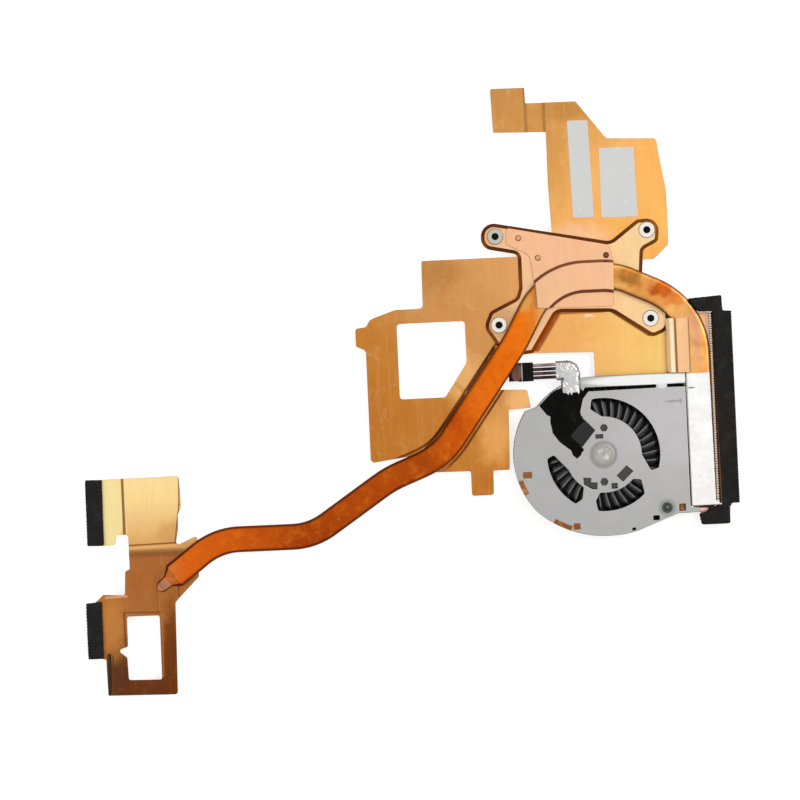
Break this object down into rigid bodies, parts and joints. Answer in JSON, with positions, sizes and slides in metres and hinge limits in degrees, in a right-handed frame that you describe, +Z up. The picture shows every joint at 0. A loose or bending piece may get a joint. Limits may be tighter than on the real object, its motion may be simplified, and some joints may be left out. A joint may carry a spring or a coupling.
{
  "type": "laptop cooling fan heatsink",
  "caption": "Copper laptop heatsink: a flat heat pipe joins spreader sheets, a processor plate and a far bracket to a slim radial fan with exhaust fins.",
  "frame": {"origin": "middle of the processor contact face, on the plane that the part stands on", "axes": "+X towards the exhaust fins, +Y towards the labelled sheet, +Z up, away from the board"},
  "size_m": [0.2368, 0.2129, 0.0076],
  "materials": {
    "pipe_copper": "polished copper with heat tint",
    "sheet_copper": "rolled copper sheet",
    "plate_copper": "pink satin copper",
    "fin_copper": "bare copper fins",
    "bush_steel": "bright turned steel",
    "cover_steel": "satin steel sheet",
    "motor_steel": "plain steel",
    "magnet": "dark bonded magnet",
    "brass": "turned brass",
    "winding_wire": "enamelled copper wire",
    "foam": "open-cell foam",
    "white_tape": "pale sealing tape",
    "black_tape": "black tape",
    "paper": "bare label",
    "fan_plastic": "moulded plastic",
    "board": "circuit board",
    "plug_plastic": "moulded plug",
    "lead": "thin insulated wires",
    "pad": "thermal pad"
  },
  "bodies": {
    "heatsink": {"heat_pipe": "pipe_copper", "cpu_base_plate": "plate_copper", "mounting_bushes": "bush_steel", "pipe_saddle": "plate_copper", "saddle_rivets": "plate_copper", "cpu_contact_block": "sheet_copper", "label_plate": "sheet_copper", "side_plate": "sheet_copper", "duct_plate": "sheet_copper", "tall_label": "paper", "wide_label": "paper", "foot_pad": "pad", "fin_stack": "fin_copper", "outlet_foam": "foam", "sealing_tape": "white_tape", "fan_tray": "sheet_copper", "fan_cover": "cover_steel", "fan_screw": "bush_steel", "bearing_tube": "brass", "sleeve_bearing": "brass", "hub_cap": "bush_steel", "stator_core": "motor_steel", "stator_coils": "winding_wire", "motor_board": "board", "plug_housing": "plug_plastic", "lead_wires": "lead", "lead_tape": "black_tape", "motor_flex": "board", "chip_plate": "sheet_copper", "chip_contact_block": "sheet_copper", "upper_foam_pad": "foam", "lower_foam_pad": "foam"},
    "rotor": {"impeller": "fan_plastic", "rotor_cup": "motor_steel", "rotor_magnet": "magnet", "rotor_shaft": "motor_steel"}
  },
  "joints": [
    {"name": "impeller_spin", "type": "hinge", "parent": "heatsink", "child": "rotor", "pos_m": [0.0081, -0.0642, 0.003], "axis": [0, 0, 1], "continuous": true}
  ]
}
